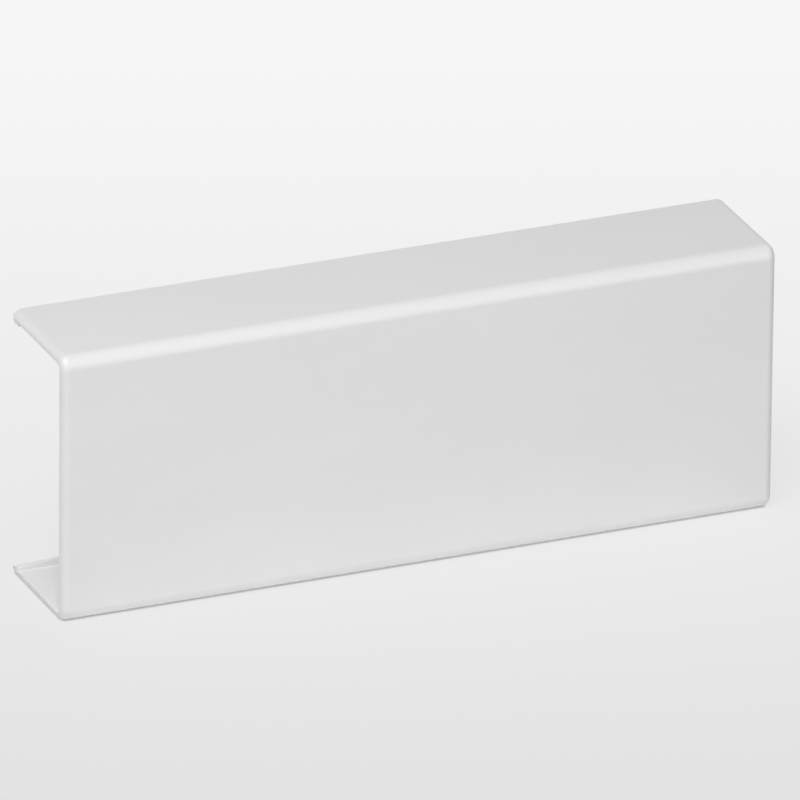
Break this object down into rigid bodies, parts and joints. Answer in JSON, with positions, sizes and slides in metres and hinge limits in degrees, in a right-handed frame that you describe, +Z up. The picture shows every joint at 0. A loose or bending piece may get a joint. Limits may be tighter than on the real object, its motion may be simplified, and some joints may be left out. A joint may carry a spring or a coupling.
{
  "type": "raceway coupling",
  "caption": "White moulded U-section coupling that snaps over the butt joint of a wall raceway, with rounded long edges and inward snap lips along its free edges.",
  "frame": {"origin": "middle of the lower flange's underside, below the centre of the coupling's box", "axes": "+X along the raceway, -Y out of the front face, +Y towards the wall, +Z up"},
  "size_m": [0.116, 0.0206, 0.0432],
  "materials": {
    "white_plastic": "white rigid plastic, moulded, satin, with a very fine grain on the outside"
  },
  "bodies": {
    "root": {"coupling_cover": "white_plastic"}
  },
  "joints": []
}
